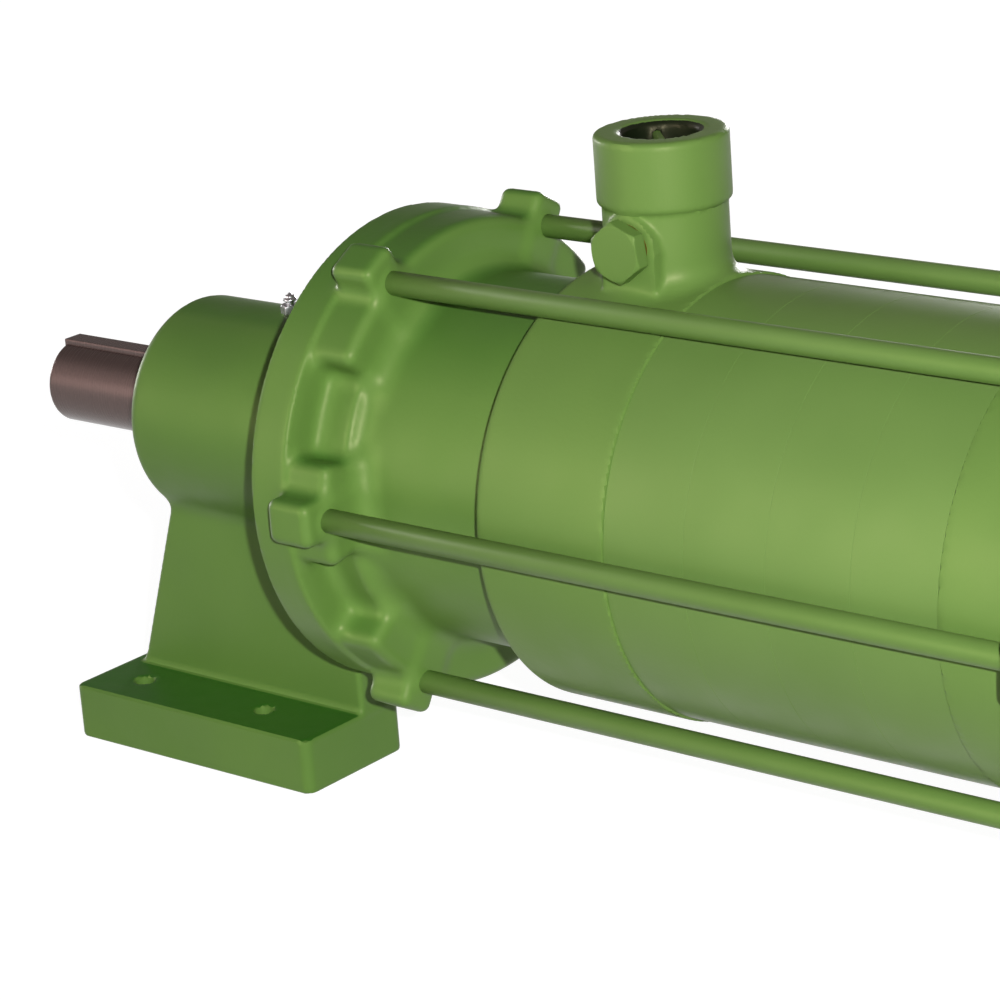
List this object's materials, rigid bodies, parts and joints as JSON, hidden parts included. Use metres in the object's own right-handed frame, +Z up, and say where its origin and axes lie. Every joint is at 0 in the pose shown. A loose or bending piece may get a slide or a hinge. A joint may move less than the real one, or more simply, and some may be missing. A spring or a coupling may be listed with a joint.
{
  "type": "multistage pump",
  "caption": "Bare shaft horizontal multistage pump with tie rods, keyed shaft end, bearing bracket on a foot and threaded top ports.",
  "frame": {"origin": "centre of the overall box in X and Y, on the floor plane under the feet", "axes": "+X from the keyed drive end to the suction end along the shaft axis, +Y to the rear, +Z up"},
  "size_m": [0.6984, 0.226, 0.2933],
  "materials": {
    "green_paint": "semi-gloss green enamel over cast iron",
    "bright_steel": "turned and ground steel",
    "zinc_steel": "zinc plated steel",
    "lacquered_steel": "ground steel under brown protective lacquer",
    "black_rubber": "nitrile rubber",
    "grey_iron": "machined grey iron and carbon",
    "bronze": "cast bronze"
  },
  "bodies": {
    "casing": {"bearing_bracket": "green_paint", "drive_end_cover": "green_paint", "cover_circlip": "bright_steel", "lip_seal": "black_rubber", "bearing_outer_ring": "bright_steel", "grease_nipple": "zinc_steel", "tie_flange": "green_paint", "bracket_screws": "green_paint", "seal_seat": "grey_iron", "discharge_casing": "green_paint", "discharge_plug": "green_paint", "suction_plug": "green_paint", "plug_gaskets": "bronze", "stage_casing_1": "green_paint", "stage_casing_2": "green_paint", "stage_casing_3": "green_paint", "stage_casing_4": "green_paint", "diffuser_1": "grey_iron", "diffuser_2": "grey_iron", "diffuser_3": "grey_iron", "diffuser_4": "grey_iron", "wear_rings": "bronze", "casing_o_rings": "black_rubber", "suction_casing": "green_paint", "drain_plug": "green_paint", "rear_end_cover": "green_paint", "rear_bush": "bronze", "rear_cover_screws": "green_paint", "tie_rods": "green_paint", "rod_washers": "zinc_steel", "rod_nuts": "zinc_steel"},
    "rotor": {"drive_shaft": "lacquered_steel", "coupling_key": "lacquered_steel", "impeller_drive_key": "bright_steel", "bearing_inner_ring": "bright_steel", "seal_face_ring": "grey_iron", "seal_spring_set": "bright_steel", "impeller_1": "bronze", "impeller_2": "bronze", "impeller_3": "bronze", "impeller_4": "bronze", "spacer_sleeves": "bright_steel", "shaft_nut": "bright_steel"},
    "ball_set": {"bearing_balls": "bright_steel"}
  },
  "joints": [
    {"name": "rotor_spin", "type": "hinge", "parent": "casing", "child": "rotor", "pos_m": [0, 0, 0.145], "axis": [1, 0, 0], "continuous": true},
    {"name": "ball_set_spin", "type": "hinge", "parent": "casing", "child": "ball_set", "pos_m": [-0.2452, 0, 0.145], "axis": [1, 0, 0], "continuous": true}
  ],
  "couplings": [
    {"joint": "ball_set_spin", "follows": "rotor_spin", "ratio": 0.4}
  ]
}
